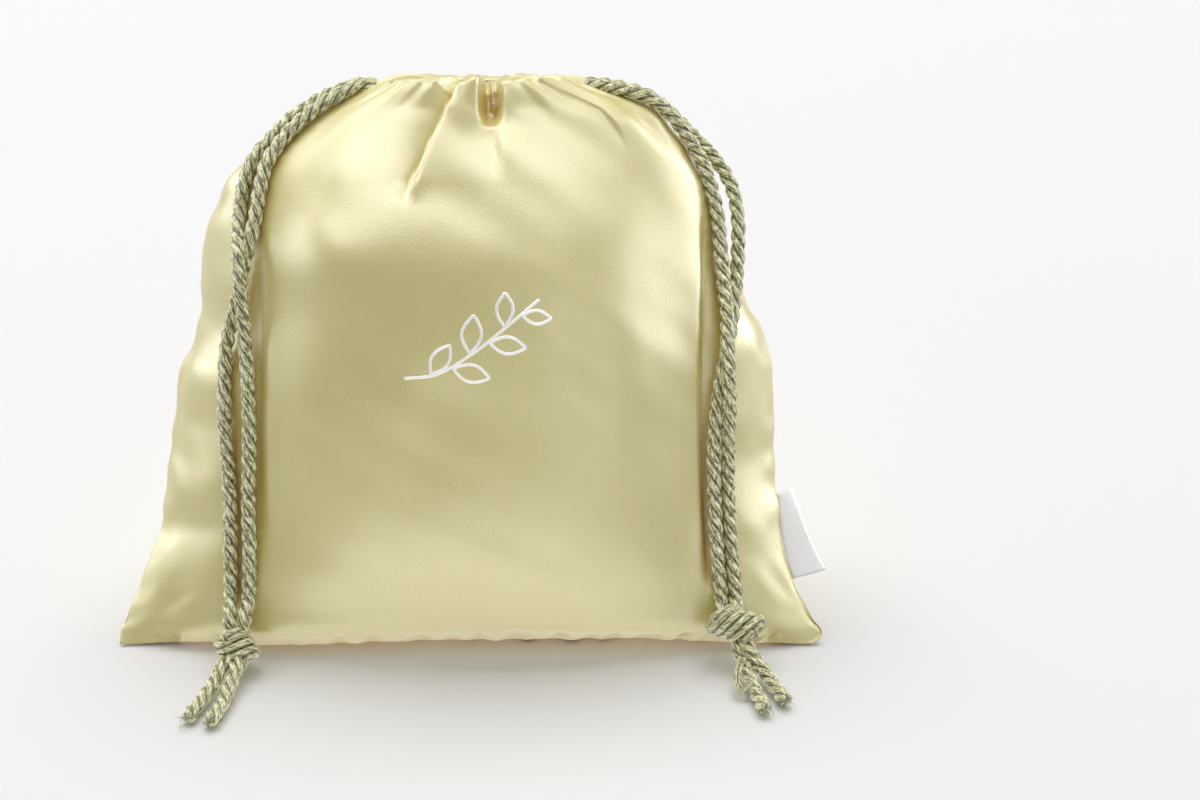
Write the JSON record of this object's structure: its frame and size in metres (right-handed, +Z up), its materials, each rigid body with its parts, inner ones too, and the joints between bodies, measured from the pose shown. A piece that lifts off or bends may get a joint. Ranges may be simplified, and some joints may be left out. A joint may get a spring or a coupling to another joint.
{
  "type": "drawstring pouch",
  "caption": "Filled satin drawstring pouch with a gathered mouth, twisted pull cords tied in knots at the front and a blank tab in its side seam.",
  "frame": {"origin": "on the floor under the middle of the pouch, cords left out", "axes": "+X to the right along the bottom seam, -Y towards the front panel, +Z up"},
  "size_m": [0.1799, 0.1244, 0.1345],
  "materials": {
    "satin": "pale celery satin weave with a soft gloss",
    "cord": "shiny sage cord of twisted plies",
    "ribbon": "white satin ribbon, folded and bare"
  },
  "bodies": {
    "root": {"pouch_body": "satin", "drawstring_left": "cord", "drawstring_right": "cord", "knot_left": "cord", "knot_right": "cord", "tail_left_a": "cord", "tail_left_b": "cord", "tail_right_a": "cord", "tail_right_b": "cord", "side_label": "ribbon"}
  },
  "joints": []
}
